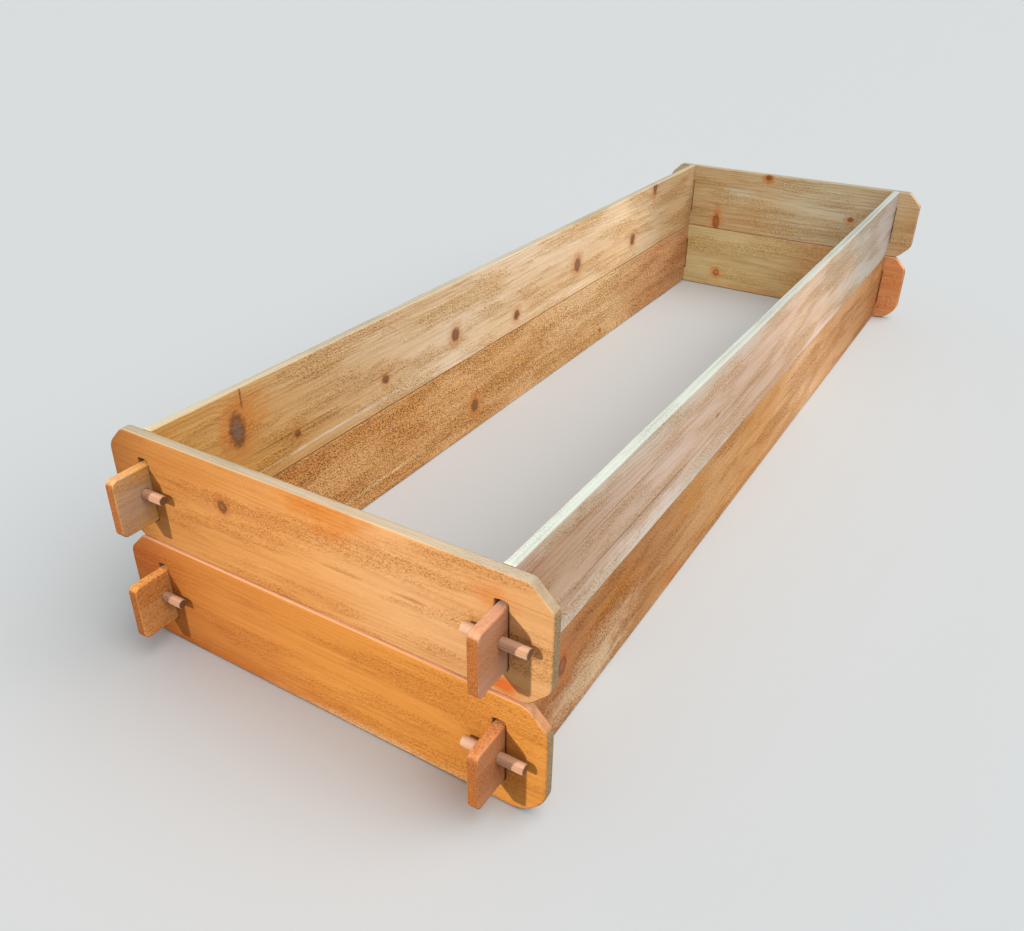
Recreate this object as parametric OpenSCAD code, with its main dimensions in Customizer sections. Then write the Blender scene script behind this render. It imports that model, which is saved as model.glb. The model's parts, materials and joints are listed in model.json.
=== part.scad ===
// Two-tier raised garden bed: tenoned cedar boards locked at the corners by loose pegs.
// Millimetres, +Z up. X runs along the end boards, Y along the side boards.
// The origin is on the ground, at the middle of the bed.

/* [Bed] */
// length over the ends of the tenons
bed_length = 1829; // [900:1:2450]
// width over the ends of the end boards
bed_width = 610; // [350:1:1250]
// how far each tier sits off centre, the lower one to the front, the upper one to the back
tier_offset = 1.75; // [0:0.25:3]

/* [Boards] */
// height of every board, which is the height of one tier
board_height = 150; // [140:1:200]
// thickness of every board
board_thickness = 14; // [12:0.5:22]
// how far the end boards reach past the side boards
end_overhang = 50; // [40:1:80]
// leg of the cut across each corner of an end board
corner_cut = 27; // [10:1:32]

/* [Tenons and mortises] */
// how far a tenon stands out from the end board
tenon_reach = 50; // [35:1:80]
// height of a tenon
tenon_height = 77; // [60:1:82]
// underside of a tenon above the bottom edge of its board
tenon_lift = 34; // [28:1:36]
// cut across the two outer corners of a tenon
tenon_corner = 4; // [1:0.5:10]
// room between a tenon and each side wall of its mortise
mortise_side_room = 1; // [0.5:0.25:3]
// room under a tenon in its mortise
mortise_low_room = 1; // [0.5:0.25:4]
// room over a tenon in its mortise
mortise_top_room = 6; // [1:0.5:8]

/* [Pegs] */
// diameter of a peg
peg_diameter = 12.7; // [8:0.1:16]
// length of a peg
peg_length = 76; // [50:1:90]
// height of a peg above the bottom edge of its board
peg_lift = 77; // [60:1:84]
// room between a peg and the face of the end board
peg_stand_off = 3.5; // [1:0.5:8]
// room all round a peg in its hole
peg_hole_room = 0.3; // [0.3:0.05:0.8]
// bevel round each end of a peg
peg_bevel = 1; // [0.5:0.25:2.5]

/* [Hidden] */
// distance from the middle of a tier to the outer face of its end and side boards
end_face_y = bed_length / 2 - tenon_reach;
side_face_x = bed_width / 2 - end_overhang;
// where the shoulders of the side boards meet the end boards
shoulder_y = end_face_y - board_thickness;
tenon_top = tenon_lift + tenon_height;
mortise_width = board_thickness + 2 * mortise_side_room;
mortise_bottom = tenon_lift - mortise_low_room;
mortise_height = mortise_low_room + tenon_height + mortise_top_room;
// middle plane of a side board, and the line of its pegs
tenon_mid_x = side_face_x - board_thickness / 2;
peg_y = end_face_y + peg_stand_off + peg_diameter / 2;
// cutters reach this far past the faces they cut
overcut = 1;
$fn = 96;

// Places its children in one tier: 0 is the lower tier, 1 the upper tier.
module in_tier(tier) {
    forward = 1 - 2 * tier;
    translate([0, -forward * tier_offset, tier * board_height])
        children();
}

// Outline of an end board seen from the front, with all four corners cut off.
module end_board_outline() {
    half = bed_width / 2;
    polygon([
        [-half + corner_cut, 0],
        [half - corner_cut, 0],
        [half, corner_cut],
        [half, board_height - corner_cut],
        [half - corner_cut, board_height],
        [-half + corner_cut, board_height],
        [-half, board_height - corner_cut],
        [-half, corner_cut]
    ]);
}

// Outline of a side board seen from the side, with a tenon and two shoulders at each end.
module side_board_outline() {
    tip = bed_length / 2;
    polygon([
        [-shoulder_y, 0],
        [shoulder_y, 0],
        [shoulder_y, tenon_lift],
        [tip - tenon_corner, tenon_lift],
        [tip, tenon_lift + tenon_corner],
        [tip, tenon_top - tenon_corner],
        [tip - tenon_corner, tenon_top],
        [shoulder_y, tenon_top],
        [shoulder_y, board_height],
        [-shoulder_y, board_height],
        [-shoulder_y, tenon_top],
        [-tip + tenon_corner, tenon_top],
        [-tip, tenon_top - tenon_corner],
        [-tip, tenon_lift + tenon_corner],
        [-tip + tenon_corner, tenon_lift],
        [-shoulder_y, tenon_lift]
    ]);
}

// One end board; end is -1 at the front and 1 at the back.
module end_board(tier, end) {
    in_tier(tier)
        translate([0, end * (end_face_y - board_thickness / 2), 0])
            difference() {
                rotate([90, 0, 0])
                    linear_extrude(height = board_thickness, center = true)
                        end_board_outline();
                for (side = [-1, 1])
                    mortise_cut(side);
            }
}

// The slot a tenon passes through, on the middle plane of the end board.
module mortise_cut(side) {
    depth = board_thickness + 2 * overcut;
    translate([side * tenon_mid_x, 0, mortise_bottom + mortise_height / 2])
        cube([mortise_width, depth, mortise_height], center = true);
}

// One side board; side is -1 on the left and 1 on the right.
module side_board(tier, side) {
    in_tier(tier)
        translate([side * tenon_mid_x, 0, 0])
            difference() {
                rotate([90, 0, 90])
                    linear_extrude(height = board_thickness, center = true)
                        side_board_outline();
                for (end = [-1, 1])
                    peg_hole_cut(end);
            }
}

// The hole for a peg through a tenon.
module peg_hole_cut(end) {
    translate([0, end * peg_y, peg_lift])
        rotate([0, 90, 0])
            cylinder(d = peg_diameter + 2 * peg_hole_room, h = board_thickness + 2 * overcut, center = true);
}

// One peg, bevelled at both ends and pushed half way through its tenon.
module peg(tier, end, side) {
    shank = peg_length - 2 * peg_bevel;
    in_tier(tier)
        translate([side * tenon_mid_x, end * peg_y, peg_lift])
            rotate([0, 90, 0]) {
                cylinder(d = peg_diameter, h = shank, center = true);
                for (tip = [0, 1])
                    mirror([0, 0, tip])
                        translate([0, 0, shank / 2])
                            cylinder(d1 = peg_diameter, d2 = peg_diameter - 2 * peg_bevel, h = peg_bevel);
            }
}

module lower_front_end_board() {
    color("#d98a45")
        end_board(0, -1);
}

module lower_back_end_board() {
    color("#c98548")
        end_board(0, 1);
}

module lower_left_side_board() {
    color("#b9773f")
        side_board(0, -1);
}

module lower_right_side_board() {
    color("#b9773f")
        side_board(0, 1);
}

module upper_front_end_board() {
    color("#e09a56")
        end_board(1, -1);
}

module upper_back_end_board() {
    color("#c9945a")
        end_board(1, 1);
}

module upper_left_side_board() {
    color("#cfa06a")
        side_board(1, -1);
}

module upper_right_side_board() {
    color("#cfa06a")
        side_board(1, 1);
}

module lower_front_left_peg() {
    color("#e2b596")
        peg(0, -1, -1);
}

module lower_front_right_peg() {
    color("#e2b596")
        peg(0, -1, 1);
}

module lower_back_left_peg() {
    color("#e2b596")
        peg(0, 1, -1);
}

module lower_back_right_peg() {
    color("#e2b596")
        peg(0, 1, 1);
}

module upper_front_left_peg() {
    color("#e2b596")
        peg(1, -1, -1);
}

module upper_front_right_peg() {
    color("#e2b596")
        peg(1, -1, 1);
}

module upper_back_left_peg() {
    color("#e2b596")
        peg(1, 1, -1);
}

module upper_back_right_peg() {
    color("#e2b596")
        peg(1, 1, 1);
}

lower_front_end_board();
lower_back_end_board();
lower_left_side_board();
lower_right_side_board();
upper_front_end_board();
upper_back_end_board();
upper_left_side_board();
upper_right_side_board();
lower_front_left_peg();
lower_front_right_peg();
lower_back_left_peg();
lower_back_right_peg();
upper_front_left_peg();
upper_front_right_peg();
upper_back_left_peg();
upper_back_right_peg();
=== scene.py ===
"""Two-tier garden bed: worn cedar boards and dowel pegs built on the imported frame, in metres."""

import json
import math
import random

import bmesh
import bpy
import numpy as np
from mathutils import Matrix, Vector, noise
from mathutils.geometry import delaunay_2d_cdt

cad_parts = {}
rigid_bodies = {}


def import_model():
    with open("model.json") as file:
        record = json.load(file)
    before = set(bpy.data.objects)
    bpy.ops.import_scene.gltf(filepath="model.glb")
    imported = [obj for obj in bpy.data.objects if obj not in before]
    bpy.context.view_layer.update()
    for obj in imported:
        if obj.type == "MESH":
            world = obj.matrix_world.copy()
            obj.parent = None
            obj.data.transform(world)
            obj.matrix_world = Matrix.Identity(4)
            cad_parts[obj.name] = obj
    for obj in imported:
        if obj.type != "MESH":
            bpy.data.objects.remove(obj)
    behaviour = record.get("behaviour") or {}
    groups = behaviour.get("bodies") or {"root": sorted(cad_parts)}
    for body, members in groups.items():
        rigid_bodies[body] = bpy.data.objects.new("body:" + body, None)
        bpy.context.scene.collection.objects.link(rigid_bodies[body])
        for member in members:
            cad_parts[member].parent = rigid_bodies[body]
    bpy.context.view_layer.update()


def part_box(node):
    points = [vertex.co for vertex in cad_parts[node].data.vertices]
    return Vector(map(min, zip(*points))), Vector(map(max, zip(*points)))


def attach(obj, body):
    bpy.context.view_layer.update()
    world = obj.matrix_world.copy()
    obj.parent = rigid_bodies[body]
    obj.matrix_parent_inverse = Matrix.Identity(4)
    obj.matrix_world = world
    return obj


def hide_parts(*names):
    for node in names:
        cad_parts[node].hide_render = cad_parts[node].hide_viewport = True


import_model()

TIERS = ("lower", "upper")
ENDS = ("front", "back")
SIDES = ("left", "right")

# Thickness of every board, in metres.
BOARD_THICKNESS = 0.014

# Sizes that the frame's boxes don't give, in metres.
CORNER_CUT = 0.027
TENON_REACH = 0.050
TENON_BOTTOM = 0.034
TENON_TOP = 0.111
MORTISE_BOTTOM = 0.033
MORTISE_TOP = 0.117
MORTISE_WIDTH = 0.016
PEG_RADIUS = 0.00635
PEG_HOLE_RADIUS = 0.00665
PEG_HEIGHT = 0.077
PEG_FROM_END = 0.04015

# Rounding at the ends of an end board's corner cuts: bottom left, bottom right (two), upper right (two),
# upper left (two) and bottom left again.
CORNER_ROUNDING = {
    "upper": (0.020, 0.022, 0.020, 0.009, 0.008, 0.016, 0.026, 0.020),
    "lower": (0.036, 0.040, 0.036, 0.024, 0.018, 0.016, 0.022, 0.036),
}

# Light levels.
KEY_POWER = 640.0
FILL_STRENGTH = 3.2
SURROUND_STRENGTH = 0.46

# The pieces that the key light falls on: all but the floor.
KEY_LIT = bpy.data.collections.new("key_lit")

# Growth rings, in metres: their width, and the pith's height on the board and depth behind it.
RING_WIDTH = 0.0042
PITH_HEIGHT = 0.095
PITH_DEPTH = 0.07

# How far the grain bends up and down a board, and how far its tone drifts along it.
GRAIN_BEND = 0.012
TONE_DRIFT = 0.25

# How a board's seed moves its noise along, up and through the wood.
SEED_SHIFT = (1.37, 0.61, 0.29)

# Cedar tints, by which a colour is multiplied.
BLOTCH_TINT = (0.92, 0.86, 0.76)
PALE_STREAK_TINT = (1.12, 1.12, 1.14)
DARK_STREAK_TINT = (0.86, 0.76, 0.64)
LATE_WOOD_TINT = (0.62, 0.48, 0.36)
TORN_TINT = (0.90, 0.78, 0.58)
# The pit warmth and the tip tint are painted shade in the pits and a painted highlight on the fibre tips.
PIT_SHADE_WARMTH = (1.0, 0.80, 0.62)
TIP_HIGHLIGHT_TINT = (1.24, 1.32, 1.50)
# The upward tint is a painted highlight from above, and the underside tint is painted shade.
UPWARD_HIGHLIGHT_TINT = (1.35, 1.4, 1.45)
UNDERSIDE_SHADE_TINT = (0.40, 0.33, 0.27)

# Cedar tones, in 0 to 255 steps.
CRACK_TONE = (92, 56, 30)
KNOT_HALO_TONE = (182, 98, 36)
KNOT_RIM_TONE = (96, 52, 22)

# Point spacing of the board meshes, in metres, and the rows of points round each worn edge.
RIM_STEP = 0.005
FACE_STEP = 0.0065
EDGE_RINGS = 4

# Wear of a board's edges, in metres: everywhere, its slow change, its nicks, and the most in a peg hole.
EDGE_WEAR = 0.0021
WEAR_CHANGE = 0.0009
NICK_DEPTH = 0.0022
HOLE_WEAR = 0.0008

# The most that an outline may be worn, as a share of the rounding and straight line beside it.
WEAR_SHARE = 0.85

# Rounding in the corners of the mortises and of the shoulders, and on the tenons' lower and upper tips.
MORTISE_ROUNDING = 0.0012
SHOULDER_ROUNDING = 0.0015
TENON_LOW_ROUNDING = 0.008
TENON_HIGH_ROUNDING = 0.0095

# Unevenness of the faces, in metres: slow waves and small dents.
WAVE_HEIGHT = 0.00022
DENT_HEIGHT = 0.00012

# Points round a peg and round its hole, and rows of points along a peg.
PEG_POINTS = 48
HOLE_POINTS = 36
PEG_ROWS = 26

# One worn end of a peg, as (depth from the end, share of the radius) from its middle outwards.
PEG_END = ((0.0, 0.0), (0.0, 0.3), (0.0, 0.6), (0.0, 0.80), (0.0003, 0.88), (0.0009, 0.955), (0.0018, 0.992))
PEG_SHANK_START = 0.0030
PEG_UNEVEN = 0.012


# ---------------------------------------------------------------- camera, light and floor

def add_camera():
    """The camera, in the position the object was seen from."""
    data = bpy.data.cameras.new("camera")
    data.sensor_width = 36.0
    data.lens = 32.3
    data.clip_end = 200.0
    camera = bpy.data.objects.new("camera", data)
    bpy.context.scene.collection.objects.link(camera)
    yaw = math.radians(-31.03)
    pitch = math.radians(-30.13)
    roll = math.radians(0.69)
    ahead = Vector((math.sin(yaw) * math.cos(pitch), math.cos(yaw) * math.cos(pitch), math.sin(pitch)))
    right = ahead.cross(Vector((0, 0, 1))).normalized()
    up = right.cross(ahead)
    tilted_right = right * math.cos(roll) + up * math.sin(roll)
    tilted_up = up * math.cos(roll) - right * math.sin(roll)
    turn = Matrix((tilted_right, tilted_up, -ahead)).transposed()
    camera.matrix_world = Matrix.Translation((0.604, -1.438, 0.8055)) @ turn.to_4x4()
    bpy.context.scene.camera = camera


def aim(light, place, target):
    """Stands a light at place, facing target."""
    light.location = place
    light.rotation_euler = (Vector(target) - Vector(place)).to_track_quat("-Z", "Y").to_euler()
    bpy.context.scene.collection.objects.link(light)


def add_lights():
    """A low key light at the front left, a very soft light from the right and an even pale surround."""
    bpy.context.scene.view_settings.view_transform = "Standard"
    key = bpy.data.lights.new("key", "SPOT")
    key.energy = KEY_POWER
    key.shadow_soft_size = 0.05
    key.spot_size = math.radians(20)
    key.spot_blend = 1.0
    key.color = (1.0, 0.96, 0.89)
    key_stand = bpy.data.objects.new("key", key)
    key_stand.light_linking.receiver_collection = KEY_LIT
    aim(key_stand, (-1.27, -3.61, 1.56), (0.12, -0.88, 0.23))
    fill = bpy.data.lights.new("fill", "SUN")
    fill.energy = FILL_STRENGTH
    fill.angle = math.radians(70)
    fill.color = (1.0, 0.985, 0.96)
    aim(bpy.data.objects.new("fill", fill), (1.7, 0.1, 2.3), (0.0, 0.0, 0.0))
    world = bpy.data.worlds.new("surround")
    world.use_nodes = True
    background = world.node_tree.nodes["Background"]
    background.inputs["Color"].default_value = (0.94, 0.975, 1.0, 1.0)
    background.inputs["Strength"].default_value = SURROUND_STRENGTH
    bpy.context.scene.world = world


def add_floor():
    """A plain pale floor, wide enough to fill the view."""
    size = 60.0
    mesh = bpy.data.meshes.new("floor")
    mesh.from_pydata(
        [(-size, -size, 0), (size, -size, 0), (size, size, 0), (-size, size, 0)], [], [(0, 1, 2, 3)]
    )
    floor = bpy.data.objects.new("floor", mesh)
    floor.location.z = -0.0005
    bpy.context.scene.collection.objects.link(floor)
    material = bpy.data.materials.new("floor")
    material.use_nodes = True
    shader = material.node_tree.nodes["Principled BSDF"]
    shader.inputs["Base Color"].default_value = (0.555, 0.575, 0.585, 1.0)
    shader.inputs["Roughness"].default_value = 0.9
    mesh.materials.append(material)


# ---------------------------------------------------------------- board meshes

def rounded_loop(corners, radii):
    """A closed outline with rounded corners, as (point, the most its edge may be worn) pairs."""
    arcs = []
    for i, corner in enumerate(corners):
        here = Vector(corner)
        to_last = (Vector(corners[i - 1]) - here).normalized()
        to_next = (Vector(corners[(i + 1) % len(corners)]) - here).normalized()
        half_angle = to_last.angle(to_next) / 2
        reach = radii[i] / math.tan(half_angle)
        centre = here + (to_last + to_next).normalized() * radii[i] / math.sin(half_angle)
        first = here + to_last * reach - centre
        last = here + to_next * reach - centre
        sweep = math.pi - 2 * half_angle
        turn = sweep if first.x * last.y - first.y * last.x > 0 else -sweep
        steps = max(2, round(radii[i] * sweep / (RIM_STEP / 3)))
        arc = []
        for k in range(steps + 1):
            arc.append(centre + Matrix.Rotation(turn * k / steps, 2) @ first)
        arcs.append(arc)
    loop = []
    for i, arc in enumerate(arcs):
        following = (i + 1) % len(arcs)
        loop.extend((point, WEAR_SHARE * radii[i]) for point in arc)
        start = arc[-1]
        stop = arcs[following][0]
        length = (stop - start).length
        count = round(length / RIM_STEP)
        for k in range(1, count):
            share = k / count
            limit = min(radii[i] + length * share, radii[following] + length * (1 - share))
            loop.append((start.lerp(stop, share), WEAR_SHARE * limit))
    return loop


def circle_loop(centre, radius, count):
    """A round hole as a clockwise loop of (point, the most its edge may be worn) pairs."""
    loop = []
    for k in range(count):
        angle = -2 * math.pi * k / count
        point = Vector(centre) + radius * Vector((math.cos(angle), math.sin(angle)))
        loop.append((point, HOLE_WEAR))
    return loop


def inward_normals(loop):
    """For each point of a loop, the direction into the wood, which lies on the left."""
    normals = []
    for i in range(len(loop)):
        along = (loop[(i + 1) % len(loop)] - loop[i - 1]).normalized()
        normals.append(Vector((-along.y, along.x)))
    return normals


def points_inside(points, loops):
    """Which of the points lie within the loops, holes left out."""
    inside = np.zeros(len(points), dtype=bool)
    x = points[:, 0]
    y = points[:, 1]
    for loop in loops:
        for i in range(len(loop)):
            ax, ay = loop[i]
            bx, by = loop[(i + 1) % len(loop)]
            if ay == by:
                continue
            crosses = (ay > y) != (by > y)
            inside ^= crosses & (x < (bx - ax) * (y - ay) / (by - ay) + ax)
    return inside


def scattered_points(loops, random_source):
    """Slightly shaken grid points within the loops, kept clear of the rims."""
    rim = np.array([tuple(point) for loop in loops for point in loop])
    low = rim.min(axis=0)
    high = rim.max(axis=0)
    shake = 0.18 * FACE_STEP
    grid = []
    rows = int((high[1] - low[1]) / FACE_STEP)
    columns = int((high[0] - low[0]) / FACE_STEP)
    for row in range(1, rows + 1):
        for column in range(1, columns + 1):
            grid.append((
                low[0] + column * FACE_STEP + random_source.uniform(-shake, shake),
                low[1] + row * FACE_STEP + random_source.uniform(-shake, shake),
            ))
    grid = np.array(grid)
    grid = grid[points_inside(grid, loops)]
    clear = np.full(len(grid), np.inf)
    for point in rim:
        clear = np.minimum(clear, ((grid - point) ** 2).sum(axis=1))
    return grid[clear > (0.55 * FACE_STEP) ** 2]


def fill_face(bm, loops, rim_verts, depth, place, random_source):
    """Fills one broad face of a board between its rims with small triangles."""
    points = [Vector(point) for loop in loops for point in loop]
    verts = [vert for rim in rim_verts for vert in rim]
    edges = []
    first = 0
    for loop in loops:
        count = len(loop)
        for k in range(count):
            edges.append((first + k, first + (k + 1) % count))
        first += count
    for x, y in scattered_points(loops, random_source):
        points.append(Vector((x, y)))
        verts.append(bm.verts.new(place(x, y, depth)))
    out_points, _, triangles, sources, _, _ = delaunay_2d_cdt(points, edges, [], 0, 1e-9)
    centres = np.array([
        tuple((out_points[a] + out_points[b] + out_points[c]) / 3) for a, b, c in triangles
    ])
    kept = points_inside(centres, loops)
    for keep, triangle in zip(kept, triangles):
        if keep:
            bm.faces.new([verts[sources[k][0]] for k in triangle])


def edge_wear(limited_loop, seed):
    """How far the edge is worn at each point of a loop: unevenly, with nicks, up to the point's limit."""
    wear = []
    for point, limit in limited_loop:
        soft = noise.noise(Vector((point.x * 9, point.y * 9, seed)))
        nick = max(0.0, noise.noise(Vector((point.x * 45, point.y * 45, seed + 7))) - 0.35)
        wear.append(min(limit, EDGE_WEAR + WEAR_CHANGE * soft + NICK_DEPTH * nick))
    return wear


def edge_profile():
    """The worn edge in section, from the face to the rim, as (inset, drop) shares of the wear."""
    profile = []
    for k in range(EDGE_RINGS + 1):
        angle = math.pi / 2 * k / EDGE_RINGS
        profile.append((1 - math.sin(angle), 1 - math.cos(angle)))
    return profile


def board_mesh(name, loops, thickness, place, seed):
    """A board with worn edges: place(along, up, depth) puts an outline point in space."""
    random_source = random.Random(seed)
    bm = bmesh.new()
    half = thickness / 2
    profile = edge_profile()
    front_loops = []
    front_rims = []
    back_rims = []
    for limited_loop in loops:
        loop = [point for point, _ in limited_loop]
        normals = inward_normals(loop)
        wear = edge_wear(limited_loop, seed)
        rows = []
        for side in (1, -1):
            rings = profile if side == 1 else profile[::-1]
            for inset, drop in rings:
                row = []
                for point, normal, radius in zip(loop, normals, wear):
                    moved = point + normal * radius * inset
                    row.append(bm.verts.new(place(moved.x, moved.y, side * (half - radius * drop))))
                rows.append(row)
            if side == 1:
                row = [bm.verts.new(place(point.x, point.y, 0)) for point in loop]
                rows.append(row)
        for upper, lower in zip(rows, rows[1:]):
            for k in range(len(loop)):
                after = (k + 1) % len(loop)
                bm.faces.new((upper[k], upper[after], lower[after], lower[k]))
        front_loops.append([p + n * r for p, n, r in zip(loop, normals, wear)])
        front_rims.append(rows[0])
        back_rims.append(rows[-1])
    fill_face(bm, front_loops, front_rims, half, place, random_source)
    fill_face(bm, front_loops, back_rims, -half, place, random_source)
    bmesh.ops.recalc_face_normals(bm, faces=bm.faces)
    bm.normal_update()
    roughen(bm, seed)
    return object_from(bm, name)


def roughen(bm, seed):
    """Moves every point a little along its normal, in slow waves and small dents."""
    moves = []
    for vert in bm.verts:
        x, y, z = vert.co
        wave = noise.noise(Vector((x * 5, y * 5, z * 14 + seed)))
        dent = noise.noise(Vector((x * 60, y * 60, z * 60 + seed)))
        moves.append(vert.normal * (WAVE_HEIGHT * wave + DENT_HEIGHT * dent))
    for vert, move in zip(bm.verts, moves):
        vert.co += move


def object_from(bm, name):
    """Turns the mesh into a smooth-shaded object."""
    mesh = bpy.data.meshes.new(name)
    bm.to_mesh(mesh)
    bm.free()
    mesh.polygons.foreach_set("use_smooth", [True] * len(mesh.polygons))
    made = bpy.data.objects.new(name, mesh)
    bpy.context.scene.collection.objects.link(made)
    made.modifiers.new("weighted_normals", "WEIGHTED_NORMAL")
    return made


def end_board_loops(length, height, tenon_mid, radii):
    """Outline of an end board, about its middle, and its two mortises."""
    half = length / 2
    outline = rounded_loop([
        (-half + CORNER_CUT, 0), (half - CORNER_CUT, 0),
        (half, CORNER_CUT), (half, height - CORNER_CUT),
        (half - CORNER_CUT, height), (-half + CORNER_CUT, height),
        (-half, height - CORNER_CUT), (-half, CORNER_CUT),
    ], radii)
    loops = [outline]
    for side in (-1, 1):
        left = side * tenon_mid - MORTISE_WIDTH / 2
        right = left + MORTISE_WIDTH
        loops.append(rounded_loop([
            (left, MORTISE_BOTTOM), (left, MORTISE_TOP), (right, MORTISE_TOP), (right, MORTISE_BOTTOM),
        ], [MORTISE_ROUNDING] * 4))
    return loops


def side_board_loops(length, height, board_thickness):
    """Outline of a side board with its tenons, about its middle, and the two peg holes."""
    tip = length / 2
    shoulder = tip - TENON_REACH - board_thickness
    half_outline = [
        (shoulder, 0, SHOULDER_ROUNDING), (shoulder, TENON_BOTTOM, SHOULDER_ROUNDING),
        (tip, TENON_BOTTOM, TENON_LOW_ROUNDING), (tip, TENON_TOP, TENON_HIGH_ROUNDING),
        (shoulder, TENON_TOP, SHOULDER_ROUNDING), (shoulder, height, SHOULDER_ROUNDING),
    ]
    whole = half_outline + [(-x, z, r) for x, z, r in reversed(half_outline)]
    loops = [rounded_loop([(x, z) for x, z, _ in whole], [r for _, _, r in whole])]
    for end in (-1, 1):
        loops.append(circle_loop((end * (tip - PEG_FROM_END), PEG_HEIGHT), PEG_HOLE_RADIUS, HOLE_POINTS))
    return loops


def peg_mesh(name, length, seed):
    """A dowel peg along X, with worn bevelled ends and a slightly uneven turned surface."""
    half = length / 2
    shank = length - 2 * PEG_SHANK_START
    profile = [(-half + depth, share) for depth, share in PEG_END]
    for k in range(PEG_ROWS + 1):
        profile.append((-half + PEG_SHANK_START + shank * k / PEG_ROWS, 1.0))
    profile += [(half - depth, share) for depth, share in reversed(PEG_END)]
    bm = bmesh.new()
    rings = []
    for x, share in profile:
        if share == 0:
            rings.append([bm.verts.new((x, 0, 0))])
            continue
        ring = []
        for k in range(PEG_POINTS):
            angle = 2 * math.pi * k / PEG_POINTS
            uneven = noise.noise(Vector((x * 40, math.cos(angle) * 1.5, math.sin(angle) * 1.5 + seed)))
            radius = PEG_RADIUS * share * (1 + PEG_UNEVEN * uneven)
            ring.append(bm.verts.new((x, radius * math.cos(angle), radius * math.sin(angle))))
        rings.append(ring)
    for low, high in zip(rings, rings[1:]):
        for k in range(PEG_POINTS):
            after = (k + 1) % PEG_POINTS
            if len(low) == 1:
                bm.faces.new((low[0], high[k], high[after]))
            elif len(high) == 1:
                bm.faces.new((low[k], high[0], low[after]))
            else:
                bm.faces.new((low[k], high[k], high[after], low[after]))
    bmesh.ops.recalc_face_normals(bm, faces=bm.faces)
    return object_from(bm, name)


# ---------------------------------------------------------------- wood materials

class Graph:
    """A material whose shader nodes are added and wired one call at a time."""

    def __init__(self, name):
        self.material = bpy.data.materials.new(name)
        self.material.use_nodes = True
        self.tree = self.material.node_tree
        self.shader = self.tree.nodes["Principled BSDF"]

    def put(self, socket, value):
        """Sets an input to a number or colour, or wires it to an output."""
        if isinstance(value, bpy.types.NodeSocket):
            self.tree.links.new(value, socket)
        else:
            socket.default_value = value

    def math(self, operation, a, b=0.0):
        node = self.tree.nodes.new("ShaderNodeMath")
        node.operation = operation
        self.put(node.inputs[0], a)
        self.put(node.inputs[1], b)
        return node.outputs[0]

    def vector_math(self, operation, a, b):
        node = self.tree.nodes.new("ShaderNodeVectorMath")
        node.operation = operation
        self.put(node.inputs[0], a)
        self.put(node.inputs[1], b)
        return node.outputs["Value"] if operation in ("LENGTH", "DOT_PRODUCT") else node.outputs[0]

    def combine(self, x, y, z):
        node = self.tree.nodes.new("ShaderNodeCombineXYZ")
        for socket, value in zip(node.inputs, (x, y, z)):
            self.put(socket, value)
        return node.outputs[0]

    def separate(self, vector):
        node = self.tree.nodes.new("ShaderNodeSeparateXYZ")
        self.put(node.inputs[0], vector)
        return node.outputs

    def noise(self, vector, scale, detail=3.0, roughness=0.5, distortion=0.0):
        node = self.tree.nodes.new("ShaderNodeTexNoise")
        self.put(node.inputs["Vector"], vector)
        node.inputs["Scale"].default_value = scale
        node.inputs["Detail"].default_value = detail
        node.inputs["Roughness"].default_value = roughness
        node.inputs["Distortion"].default_value = distortion
        return node.outputs["Fac"]

    def fade(self, value, low, high, at_low=0.0, at_high=1.0):
        """Smoothly from at_low, where value is low, to at_high, where it is high."""
        node = self.tree.nodes.new("ShaderNodeMapRange")
        node.interpolation_type = "SMOOTHSTEP"
        self.put(node.inputs["Value"], value)
        node.inputs["From Min"].default_value = low
        node.inputs["From Max"].default_value = high
        node.inputs["To Min"].default_value = at_low
        node.inputs["To Max"].default_value = at_high
        return node.outputs[0]

    def ramp(self, factor, stops):
        node = self.tree.nodes.new("ShaderNodeValToRGB")
        self.put(node.inputs[0], factor)
        elements = node.color_ramp.elements
        while len(elements) < len(stops):
            elements.new(0.5)
        for element, (place, colour) in zip(elements, stops):
            element.position = place
            element.color = (*colour, 1.0)
        return node.outputs[0]

    def mix(self, factor, a, b, blend="MIX"):
        node = self.tree.nodes.new("ShaderNodeMix")
        node.data_type = "RGBA"
        node.blend_type = blend
        self.put(node.inputs["Factor"], factor)
        colour_inputs = [socket for socket in node.inputs if socket.type == "RGBA"]
        for socket, value in zip(colour_inputs, (a, b)):
            self.put(socket, value if isinstance(value, bpy.types.NodeSocket) else (*value, 1.0))
        return [socket for socket in node.outputs if socket.type == "RGBA"][0]

    def bump(self, height, distance, strength=1.0, below=None):
        node = self.tree.nodes.new("ShaderNodeBump")
        self.put(node.inputs["Height"], height)
        node.inputs["Distance"].default_value = distance
        node.inputs["Strength"].default_value = strength
        if below is not None:
            self.put(node.inputs["Normal"], below)
        return node.outputs[0]


def srgb(red, green, blue):
    """A colour given in 0 to 255 steps as linear light."""
    linear = []
    for value in (red, green, blue):
        share = value / 255
        linear.append(share / 12.92 if share <= 0.04045 else ((share + 0.055) / 1.055) ** 2.4)
    return tuple(linear)


def unlit(tone, lit):
    """The wood colour that looks like the tone, in 0 to 255 steps, where light of colour lit falls."""
    return tuple(min(0.9, value / light) for value, light in zip(srgb(*tone), lit))


def tinted(graph, colour, factor, tint):
    """The colour with a share of it multiplied by the tint."""
    return graph.mix(factor, colour, tint, "MULTIPLY")


def greyed(graph, colour, low, spread, pattern):
    """The colour made lighter and darker by a pattern, from low to low + spread."""
    grey = graph.math("ADD", low, graph.math("MULTIPLY", pattern, spread))
    return tinted(graph, colour, 1.0, graph.combine(grey, grey, grey))


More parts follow.
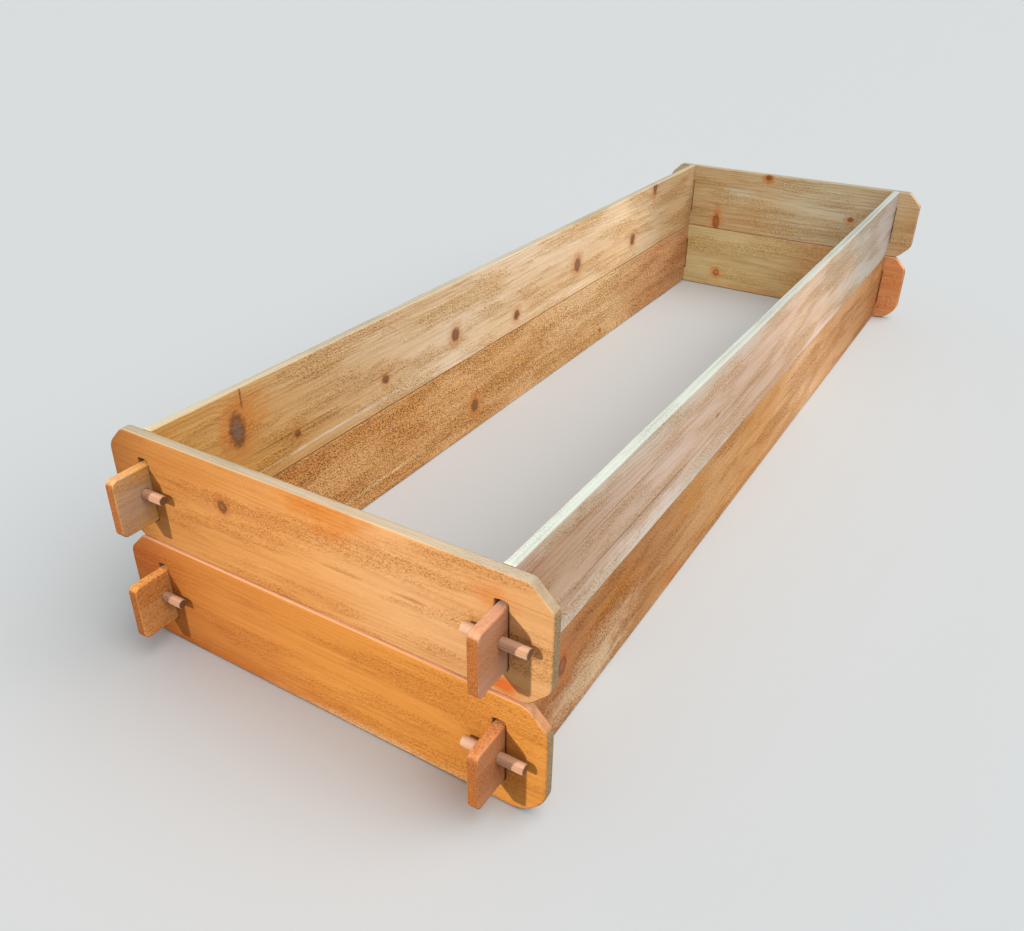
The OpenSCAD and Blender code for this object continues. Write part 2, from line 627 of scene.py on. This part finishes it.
class Cedar(Graph):
    """Working values of one board's cedar: its grain lies along X (0) or Y (1)."""

    def __init__(self, name, along, length, board):
        super().__init__(name)
        self.along = along
        self.length = length
        self.board = board
        coordinates = self.tree.nodes.new("ShaderNodeTexCoord")
        x, y, self.up = self.separate(coordinates.outputs["Object"])
        self.lengthwise, self.through = (x, y) if along == 0 else (y, x)
        self.grain = self.combine(self.lengthwise, self.up, self.through)
        self.normal = self.separate(coordinates.outputs["Normal"])
        shift = tuple(board["seed"] * share for share in SEED_SHIFT)
        self.shifted = self.vector_math("ADD", self.grain, shift)
        self.slow = self.grain_noise(1.6, 7, 2.0)
        self.quick = self.grain_noise(9, 60, 3.0)
        self.fibre = self.grain_noise(14, 620, 3.0, 0.6)
        self.streak = self.grain_noise(2.4, 150, 4.0, 0.6)
        self.nap = self.grain_noise(300 * board["fine"], 430 * board["fine"], 2.0, 0.6)

    def grain_noise(self, lengthwise, crosswise, detail, roughness=0.5):
        """Noise with its own fineness along the grain and across it."""
        place = self.vector_math("MULTIPLY", self.shifted, (lengthwise, crosswise, crosswise))
        return self.noise(place, 1.0, detail, roughness)

    def uneven(self, lengthwise, crosswise, detail, strength):
        """Grain noise about zero, to roughen outlines with."""
        centred = self.math("SUBTRACT", self.grain_noise(lengthwise, crosswise, detail), 0.5)
        return self.math("MULTIPLY", centred, strength)

    def shade(self, tone):
        """The wood colour that shows as the tone in this board's light."""
        return unlit(tone, self.board["lit"])

    def spot_distance(self, place, wobble, spot):
        """Distance from an elliptical spot (along, up, half length, half height): 1 is its rim."""
        along_at, up_at, half_length, half_height = spot
        offset = self.vector_math("SUBTRACT", place, (along_at, up_at, 0))
        scaled = self.vector_math("MULTIPLY", offset, (1 / half_length, 1 / half_height, 0))
        return self.math("ADD", self.vector_math("LENGTH", scaled, (0, 0, 0)), wobble)


def base_colour(wood):
    """The tone changes slowly along the board, partly as painted light brighter or darker along it, with
    blotches and long streaks across it.
    """
    share = wood.math("ADD", wood.math("DIVIDE", wood.lengthwise, wood.length), 0.5)
    drift = wood.math("MULTIPLY", wood.math("SUBTRACT", wood.slow, 0.5), TONE_DRIFT)
    tones = [(place, wood.shade(tone)) for place, tone in wood.board["tones"]]
    colour = wood.ramp(wood.math("ADD", share, drift), tones)
    patch = wood.grain_noise(3.5, 14, 3.0)
    colour = tinted(wood, colour, wood.fade(patch, 0.36, 0.64), BLOTCH_TINT)
    colour = tinted(wood, colour, wood.fade(wood.streak, 0.36, 0.66, 0.3, 0.0), PALE_STREAK_TINT)
    dark_streak = wood.fade(wood.streak, 0.46, 0.72, 0.0, wood.board["streaks"])
    return tinted(wood, colour, dark_streak, DARK_STREAK_TINT)


def add_stains_and_lit_patches(wood, colour):
    """Soft-edged patches of another tone: stains, and one painted patch of bounce light below a tenon."""
    wobble = wood.uneven(50, 70, 3.0, 1.3)
    for along_at, up_at, half_length, half_height, strength, tone in wood.board["stains_and_lit_patches"]:
        distance = wood.spot_distance(wood.grain, wobble, (along_at, up_at, half_length, half_height))
        colour = wood.mix(wood.fade(distance, 0.2, 1.2, strength, 0.0), colour, wood.shade(tone))
    return colour


def add_cracks(wood, colour):
    """Thin dark drying cracks that follow the bend of the grain."""
    bend = wood.combine(0.0, wood.math("MULTIPLY", wood.slow, GRAIN_BEND), 0.0)
    bent = wood.vector_math("ADD", wood.grain, bend)
    for along_at, up_at, half_length, half_height, strength in wood.board.get("cracks", []):
        spot = (along_at, up_at + GRAIN_BEND / 2, half_length, half_height)
        distance = wood.spot_distance(bent, 0.0, spot)
        colour = wood.mix(wood.fade(distance, 0.3, 1.0, strength, 0.0), colour, wood.shade(CRACK_TONE))
    return colour


def knot_marks(wood):
    """Where the knots swell the rings, and their cores, rims, halos and (share, colour) hearts."""
    ripple = wood.uneven(150, 190, 2.0, 1.0)
    swell = 0.0
    core = 0.0
    rim = 0.0
    halo = 0.0
    hearts = []
    for along_at, up_at, size, tall, tone in wood.board["knots"]:
        distance = wood.spot_distance(wood.grain, ripple, (along_at, up_at, size, size * tall))
        inner = wood.fade(distance, 0.35, 1.05, 0.8, 0.0)
        hearts.append((inner, wood.shade(tone)))
        swell = wood.math("ADD", swell, wood.fade(distance, 0.0, 4.0, size * 0.9, 0.0))
        core = wood.math("MAXIMUM", core, inner)
        rim = wood.math("MAXIMUM", rim, wood.fade(distance, 0.8, 1.6, 1.0, 0.0))
        halo = wood.math("MAXIMUM", halo, wood.fade(distance, 0.9, 3.4, 1.0, 0.0))
    return swell, core, rim, halo, hearts


def late_wood(wood, swell):
    """The dark side of each growth ring, about a pith line behind the board that wanders along it."""
    above = wood.math("SUBTRACT", wood.up, PITH_HEIGHT)
    above = wood.math("ADD", above, wood.math("MULTIPLY", wood.slow, 0.05))
    behind = wood.math("ADD", wood.through, PITH_DEPTH)
    radius = wood.vector_math("LENGTH", wood.combine(0.0, above, behind), (0, 0, 0))
    radius = wood.math("ADD", radius, swell)
    radius = wood.math("ADD", radius, wood.math("MULTIPLY", wood.lengthwise, 0.012))
    radius = wood.math("ADD", radius, wood.math("MULTIPLY", wood.quick, 0.006))
    phase = wood.math("FRACT", wood.math("DIVIDE", radius, RING_WIDTH))
    late = wood.math("MULTIPLY", wood.fade(phase, 0.2, 0.8), wood.fade(phase, 0.85, 1.0, 1.0, 0.0))
    return wood.math("MULTIPLY", late, wood.fade(wood.quick, 0.35, 0.6, 0.3, 1.0))


def torn_share(wood, rough):
    """How far the saw tore the face: a little everywhere, fully where rough, less on the tenons."""
    fuzz = wood.board["fuzz"]
    everywhere = min(0.75, 0.22 * fuzz * fuzz)
    torn = wood.math("ADD", everywhere, wood.math("MULTIPLY", rough, 1 - everywhere))
    if wood.along == 0:
        return torn
    tenon_root = wood.length / 2 - TENON_REACH - BOARD_THICKNESS
    from_middle = wood.math("ABSOLUTE", wood.lengthwise)
    return wood.math("MULTIPLY", torn, wood.fade(from_middle, tenon_root - 0.006, tenon_root, 1.0, 0.45))


def add_flecks(wood, colour, rough, torn):
    """Torn wood is darker, with painted shade in the pits between the fibres and a painted highlight on
    their tips.
    """
    fuzz = wood.board["fuzz"]
    colour = tinted(wood, colour, wood.math("MULTIPLY", rough, 0.8 * min(1.0, fuzz)), TORN_TINT)
    deepest = 0.36 + 0.03 * fuzz
    pit_shade = wood.math("MULTIPLY", wood.fade(wood.nap, deepest, deepest + 0.07, 1.0, 0.0), torn)
    darkest = 0.64 - 0.12 * fuzz
    pit_shade_tint = tuple(darkest * share for share in PIT_SHADE_WARMTH)
    colour = tinted(wood, colour, wood.math("MULTIPLY", pit_shade, min(1.0, 0.95 * fuzz)), pit_shade_tint)
    tip_highlight = wood.math("MULTIPLY", wood.fade(wood.nap, 0.54, 0.68), torn)
    colour = tinted(wood, colour, wood.math("MULTIPLY", tip_highlight, min(1.0, fuzz)), TIP_HIGHLIGHT_TINT)
    return greyed(wood, colour, 0.93, 0.14, wood.fibre)


def add_knots(wood, colour, rim, halo, hearts):
    """Knots: a reddish halo, a dark rim and a heart of its own tone."""
    colour = wood.mix(wood.math("MULTIPLY", halo, 0.5), colour, wood.shade(KNOT_HALO_TONE))
    colour = wood.mix(wood.math("MULTIPLY", rim, 0.8), colour, wood.shade(KNOT_RIM_TONE))
    for inner, heart in hearts:
        colour = wood.mix(inner, colour, heart)
    return colour


def add_edges(wood, colour):
    """Speckled end grain, a painted highlight on upward faces, painted shade on the undersides and pale
    upper edges.
    """
    end_grain = wood.fade(wood.math("ABSOLUTE", wood.normal[wood.along]), 0.75, 0.95)
    speckle = wood.grain_noise(500, 640, 4.0, 0.75)
    end_colour = wood.board["end"]
    dark_end = tuple(value * 0.45 for value in end_colour)
    colour = wood.mix(end_grain, colour, wood.mix(wood.fade(speckle, 0.36, 0.6), dark_end, end_colour))
    # Upward faces are made lighter: a painted highlight from above.
    upward = wood.fade(wood.normal[2], 0.35, 0.85)
    colour = tinted(wood, colour, upward, UPWARD_HIGHLIGHT_TINT)
    # Downward faces are made darker: painted shade under the boards and tenons.
    downward = wood.fade(wood.normal[2], -0.75, -0.15, 0.85, 0.0)
    colour = tinted(wood, colour, downward, UNDERSIDE_SHADE_TINT)
    above_tenons = wood.fade(wood.up, TENON_TOP + 0.004, TENON_TOP + 0.010)
    pale_top_share = wood.math("MULTIPLY", wood.math("MULTIPLY", upward, above_tenons), 0.88)
    top_colour = wood.board["top"]
    dull_top = tuple(value * 0.72 for value in top_colour)
    return wood.mix(pale_top_share, colour, wood.mix(wood.fade(wood.streak, 0.4, 0.7), top_colour, dull_top))


def set_surface(wood, torn, late, core):
    """A dull surface with raised fibres and torn tufts; knots stand proud and late wood lies low."""
    roughness = wood.math("ADD", 0.70, wood.math("MULTIPLY", wood.nap, 0.2))
    wood.put(wood.shader.inputs["Roughness"], roughness)
    wood.shader.inputs["Specular IOR Level"].default_value = 0.2
    tear = wood.math("MULTIPLY", wood.math("MULTIPLY", wood.nap, torn), 1.6 * wood.board["fuzz"])
    relief = wood.math("ADD", wood.math("MULTIPLY", wood.fibre, 0.3), tear)
    relief = wood.math("SUBTRACT", relief, wood.math("MULTIPLY", late, 0.15))
    relief = wood.math("ADD", relief, wood.math("MULTIPLY", core, 0.4))
    wood.put(wood.shader.inputs["Normal"], wood.bump(relief, 0.0016))


def cedar(name, along, length, board):
    """Rough-sawn cedar with the grain along X (0) or Y (1), from a row of BOARDS."""
    wood = Cedar(name, along, length, board)
    colour = base_colour(wood)
    colour = add_stains_and_lit_patches(wood, colour)
    colour = add_cracks(wood, colour)
    swell, core, rim, halo, hearts = knot_marks(wood)
    late = late_wood(wood, swell)
    colour = tinted(wood, colour, wood.math("MULTIPLY", late, board["rings"]), LATE_WOOD_TINT)
    rough = wood.fade(wood.grain_noise(5, 26, 3.0, 0.6), 0.42, 0.60)
    torn = torn_share(wood, rough)
    colour = add_flecks(wood, colour, rough, torn)
    colour = add_knots(wood, colour, rim, halo, hearts)
    wood.put(wood.shader.inputs["Base Color"], add_edges(wood, colour))
    set_surface(wood, torn, late, core)
    return wood.material


def peg_wood():
    """Pale dowel wood with fine straight grain."""
    graph = Graph("dowel_wood")
    coordinates = graph.tree.nodes.new("ShaderNodeTexCoord")
    place = coordinates.outputs["Object"]
    fibre = graph.noise(graph.vector_math("MULTIPLY", place, (30, 900, 900)), 1.0, 4.0, 0.6)
    band = graph.noise(graph.vector_math("MULTIPLY", place, (8, 260, 260)), 1.0, 2.0)
    colour = graph.mix(graph.fade(band, 0.35, 0.7), srgb(188, 150, 122), srgb(160, 114, 86))
    colour = greyed(graph, colour, 0.84, 0.26, fibre)
    normal = graph.separate(coordinates.outputs["Normal"])
    end_grain = graph.fade(graph.math("ABSOLUTE", normal[0]), 0.7, 0.95)
    _, y, z = graph.separate(place)
    pith = graph.combine(0.0, graph.math("ADD", y, 0.009), z)
    radius = graph.vector_math("LENGTH", pith, (0, 0, 0))
    rings = graph.math("FRACT", graph.math("DIVIDE", radius, 0.0016))
    # The dark end colour is the end grain's own, and partly painted shade on the peg ends.
    end_colour = graph.mix(graph.fade(rings, 0.2, 0.9), srgb(122, 86, 60), srgb(82, 52, 34))
    colour = graph.mix(end_grain, colour, end_colour)
    graph.put(graph.shader.inputs["Base Color"], colour)
    graph.shader.inputs["Roughness"].default_value = 0.68
    graph.shader.inputs["Specular IOR Level"].default_value = 0.25
    graph.put(graph.shader.inputs["Normal"], graph.bump(fibre, 0.0004))
    return graph.material


# ---------------------------------------------------------------- the object

# Colours of the end grain and of the top edges.
OLIVE_END = srgb(160, 132, 96)
BROWN_END = srgb(166, 96, 42)
PALE_TOP = srgb(187, 196, 187)
GREY_TOP = srgb(186, 178, 156)
CREAM_TOP = srgb(168, 157, 136)
PINK_TOP = srgb(206, 150, 116)
BROWN_TOP = srgb(140, 98, 64)

# One row for each board, with places measured from its middle and from its bottom edge:
#   lit      how strongly the scene's light falls on its face, in red, green and blue
#   streaks, rings   how clear its long streaks and its growth rings are
#   fuzz, fine       how torn its face is, and how small the flecks are
#   end, top, seed   colours of its end grain and its top edge, and the start of its noise
#   tones    (share of the length, tone), partly painted light brighter or darker along the board
#   stains   (along, up, half length, half height, strength, tone), stains and one painted patch of light
#   knots    (along, up, half width, height over width, tone)
#   cracks   (along, up, half length, half height, strength)
BOARDS = {
    "upper_front_end_board": dict(
        lit=(1.64, 1.55, 1.67), streaks=0.4, rings=0.12, fuzz=0.76, fine=1.3,
        end=OLIVE_END, top=CREAM_TOP, seed=3,
        tones=[
            (0.0, (186, 112, 50)), (0.12, (214, 142, 74)), (0.5, (226, 156, 92)),
            (0.7, (233, 170, 116)), (1.0, (236, 176, 124)),
        ],
        stains_and_lit_patches=[
            (0.03, 0.140, 0.075, 0.034, 0.7, (220, 124, 30)),
            (0.045, 0.072, 0.055, 0.0022, 0.5, (176, 104, 54)),
            (0.14, 0.073, 0.030, 0.0030, 0.6, (168, 98, 52)),
            # A painted patch of orange bounce light below the right tenon.
            (0.252, 0.012, 0.022, 0.013, 0.9, (222, 100, 18)),
            (0.235, 0.118, 0.03, 0.020, 0.5, (222, 122, 44)),
            (-0.17, 0.125, 0.08, 0.018, 0.4, (206, 126, 52)),
        ],
        knots=[(-0.121, 0.094, 0.0056, 1.2, (168, 96, 50))],
    ),
    "lower_front_end_board": dict(
        lit=(1.56, 1.47, 1.48), streaks=0.35, rings=0.10, fuzz=0.64, fine=1.3,
        end=OLIVE_END, top=PINK_TOP, seed=11,
        tones=[(0.0, (198, 108, 38)), (0.3, (212, 130, 56)), (0.6, (222, 145, 64)), (1.0, (236, 158, 72))],
        stains_and_lit_patches=[
            (-0.12, 0.0, 0.20, 0.022, 0.6, (188, 98, 32)),
            (0.24, 0.065, 0.06, 0.030, 0.4, (210, 120, 44)),
            (0.08, 0.004, 0.16, 0.010, 0.7, (238, 180, 132)),
            (-0.27, 0.11, 0.05, 0.04, 0.5, (196, 100, 32)),
        ],
        knots=[],
    ),
    "upper_back_end_board": dict(
        lit=(0.47, 0.435, 0.395), streaks=0.6, rings=0.34, fuzz=0.7, fine=0.9,
        end=OLIVE_END, top=CREAM_TOP, seed=17,
        tones=[
            (0.1, (168, 145, 108)), (0.4, (176, 150, 113)), (0.62, (180, 160, 130)),
            (0.8, (178, 157, 128)), (1.0, (160, 129, 92)),
        ],
        stains_and_lit_patches=[
            (-0.116, 0.095, 0.05, 0.020, 0.6, (184, 170, 144)),
            (-0.05, 0.140, 0.022, 0.016, 0.9, (158, 92, 40)),
            (-0.17, 0.028, 0.012, 0.030, 0.6, (164, 104, 52)),
        ],
        knots=[
            (-0.05, 0.143, 0.006, 0.9, (120, 74, 44)), (-0.171, 0.018, 0.0065, 2.4, (146, 92, 56)),
            (0.159, 0.071, 0.006, 0.8, (128, 88, 56)),
        ],
    ),
    "lower_back_end_board": dict(
        lit=(0.41, 0.38, 0.325), streaks=0.6, rings=0.30, fuzz=0.7, fine=0.9,
        end=OLIVE_END, top=PINK_TOP, seed=23,
        tones=[(0.1, (186, 149, 104)), (0.5, (178, 144, 102)), (0.8, (164, 118, 74)), (1.0, (164, 108, 66))],
        stains_and_lit_patches=[(-0.153, 0.037, 0.03, 0.02, 0.5, (170, 110, 56)),
        (0.0, 0.0, 0.3, 0.02, 0.4, (158, 106, 62))],
        knots=[(-0.153, 0.037, 0.006, 1.2, (160, 108, 66))],
    ),
    "upper_left_side_board": dict(
        lit=(0.88, 0.72, 0.53), streaks=0.6, rings=0.09, fuzz=0.85, fine=1.0,
        end=BROWN_END, top=GREY_TOP, seed=31,
        tones=[
            (0.05, (188, 128, 56)), (0.2, (194, 148, 94)), (0.4, (211, 174, 130)), (0.72, (230, 185, 132)),
            (0.86, (181, 142, 95)),
        ],
        stains_and_lit_patches=[
            (-0.71, 0.105, 0.055, 0.045, 0.6, (192, 112, 42)),
            (-0.45, 0.018, 0.30, 0.0035, 0.45, (216, 190, 158)),
            (-0.712, 0.138, 0.0022, 0.020, 0.8, (88, 50, 26)),
            (-0.895, 0.070, 0.045, 0.065, 0.85, (153, 117, 85)),
        ],
        knots=[
            (-0.725, 0.095, 0.0115, 1.75, (118, 86, 58)), (-0.62, 0.043, 0.0052, 1.0, (118, 74, 40)),
            (-0.421, 0.049, 0.0070, 0.9, (120, 78, 44)), (-0.228, 0.058, 0.0092, 1.1, (126, 84, 50)),
            (-0.025, 0.029, 0.0080, 1.0, (118, 76, 44)), (0.218, 0.061, 0.0105, 1.1, (142, 98, 60)),
            (0.49, 0.047, 0.0090, 1.1, (130, 86, 50)), (0.60, 0.145, 0.009, 1.6, (128, 88, 54)),
        ],
        cracks=[
            (-0.62, 0.047, 0.13, 0.0012, 0.75), (-0.57, 0.040, 0.10, 0.0009, 0.6),
            (-0.40, 0.052, 0.08, 0.0008, 0.5),
        ],
    ),
    "lower_left_side_board": dict(
        lit=(0.62, 0.49, 0.37), streaks=0.5, rings=0.14, fuzz=1.9, fine=1.05,
        end=BROWN_END, top=BROWN_TOP, seed=37,
        tones=[
            (0.15, (174, 114, 60)), (0.3, (184, 127, 72)), (0.7, (201, 149, 98)), (0.85, (174, 117, 70)),
            (1.0, (170, 118, 76)),
        ],
        stains_and_lit_patches=[
            (-0.45, 0.030, 0.20, 0.004, 0.5, (216, 164, 112)),
            (0.35, 0.050, 0.25, 0.002, 0.5, (150, 96, 54)),
            (-0.895, 0.070, 0.045, 0.065, 0.85, (156, 96, 46)),
        ],
        knots=[(-0.168, 0.049, 0.0095, 1.1, (116, 70, 38)), (0.349, 0.024, 0.004, 1.0, (124, 76, 42))],
    ),
    "upper_right_side_board": dict(
        lit=(0.96, 0.88, 0.78), streaks=0.4, rings=0.18, fuzz=0.8, fine=1.0,
        end=BROWN_END, top=PALE_TOP, seed=43,
        tones=[
            (0.03, (166, 121, 96)), (0.07, (174, 140, 112)), (0.3, (194, 164, 140)), (0.45, (200, 168, 144)),
            (0.62, (220, 184, 156)), (0.7, (198, 168, 139)), (0.83, (175, 161, 144)), (1.0, (166, 148, 136)),
        ],
        stains_and_lit_patches=[
            (-0.45, 0.146, 0.60, 0.020, 0.5, (190, 178, 156)),
            (-0.55, 0.004, 0.42, 0.030, 0.75, (204, 186, 166)),
            (-0.30, 0.070, 0.0100, 0.003, 0.8, (128, 92, 68)),
            (0.43, 0.090, 0.05, 0.03, 0.4, (206, 158, 122)),
            (-0.895, 0.070, 0.045, 0.065, 0.8, (168, 113, 78)),
        ],
        knots=[],
        cracks=[
            (-0.55, 0.046, 0.36, 0.0016, 0.6), (-0.62, 0.098, 0.28, 0.0014, 0.5),
            (-0.20, 0.060, 0.24, 0.0013, 0.45),
            (0.35, 0.110, 0.25, 0.0013, 0.4),
        ],
    ),
    "lower_right_side_board": dict(
        lit=(1.00, 0.94, 0.89), streaks=0.55, rings=0.14, fuzz=1.4, fine=1.0,
        end=BROWN_END, top=BROWN_TOP, seed=47,
        tones=[
            (0.03, (170, 110, 68)), (0.12, (169, 112, 66)), (0.3, (190, 140, 90)), (0.45, (204, 148, 90)),
            (0.6, (227, 180, 138)), (0.68, (212, 160, 113)), (0.86, (181, 127, 80)),
        ],
        stains_and_lit_patches=[
            (-0.60, 0.105, 0.10, 0.036, 0.75, (178, 114, 48)),
            (-0.36, 0.115, 0.08, 0.034, 0.75, (184, 120, 52)),
            (-0.67, 0.030, 0.13, 0.042, 0.85, (206, 172, 136)),
            (-0.62, 0.064, 0.09, 0.030, 0.7, (204, 166, 128)),
            (-0.12, 0.120, 0.07, 0.025, 0.5, (190, 130, 66)),
            (-0.42, 0.020, 0.05, 0.016, 0.6, (188, 112, 48)),
            (-0.895, 0.070, 0.045, 0.065, 0.8, (172, 114, 76)),
        ],
        knots=[(-0.742, 0.098, 0.008, 1.4, (150, 92, 60))],
    ),
}


def finish_piece(piece, node, body, material):
    """Dresses a piece, hangs it on its body and lets it stand for the CAD node."""
    piece.data.materials.append(material)
    KEY_LIT.objects.link(piece)
    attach(piece, body)
    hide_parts(node)


def add_end_board(tier, end):
    """One end board with its mortises, on a body of its own."""
    node = f"{tier}_{end}_end_board"
    low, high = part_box(node)
    size = [b - a for a, b in zip(low, high)]
    middle_x = (low[0] + high[0]) / 2
    side_low, side_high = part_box(f"{tier}_right_side_board")
    tenon_mid = (side_low[0] + side_high[0]) / 2 - middle_x
    loops = end_board_loops(size[0], size[2], tenon_mid, CORNER_ROUNDING[tier])
    board = BOARDS[node]
    piece = board_mesh(f"{node}_wood", loops, size[1], lambda a, b, c: (a, c, b), board["seed"])
    piece.location = (middle_x, (low[1] + high[1]) / 2, low[2])
    material = cedar(f"{node}_cedar", 0, size[0], board)
    finish_piece(piece, node, node, material)


def add_side_board(tier, side):
    """One side board with its tenons and peg holes, on its tier's body."""
    node = f"{tier}_{side}_side_board"
    low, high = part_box(node)
    size = [b - a for a, b in zip(low, high)]
    loops = side_board_loops(size[1], size[2], size[0])
    board = BOARDS[node]
    piece = board_mesh(f"{node}_wood", loops, size[0], lambda a, b, c: (c, a, b), board["seed"])
    piece.location = ((low[0] + high[0]) / 2, (low[1] + high[1]) / 2, low[2])
    material = cedar(f"{node}_cedar", 1, size[1], board)
    finish_piece(piece, node, f"{tier}_tier", material)


def add_peg(tier, end, side, seed, material):
    """One peg, on a body of its own."""
    node = f"{tier}_{end}_{side}_peg"
    low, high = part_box(node)
    piece = peg_mesh(f"{node}_dowel", high[0] - low[0], seed)
    piece.location = [(a + b) / 2 for a, b in zip(low, high)]
    finish_piece(piece, node, node, material)


add_camera()
add_lights()
add_floor()
dowel = peg_wood()
for tier in TIERS:
    for end in ENDS:
        add_end_board(tier, end)
    for side in SIDES:
        add_side_board(tier, side)
    for end in ENDS:
        for side in SIDES:
            add_peg(tier, end, side, len(bpy.data.objects), dowel)
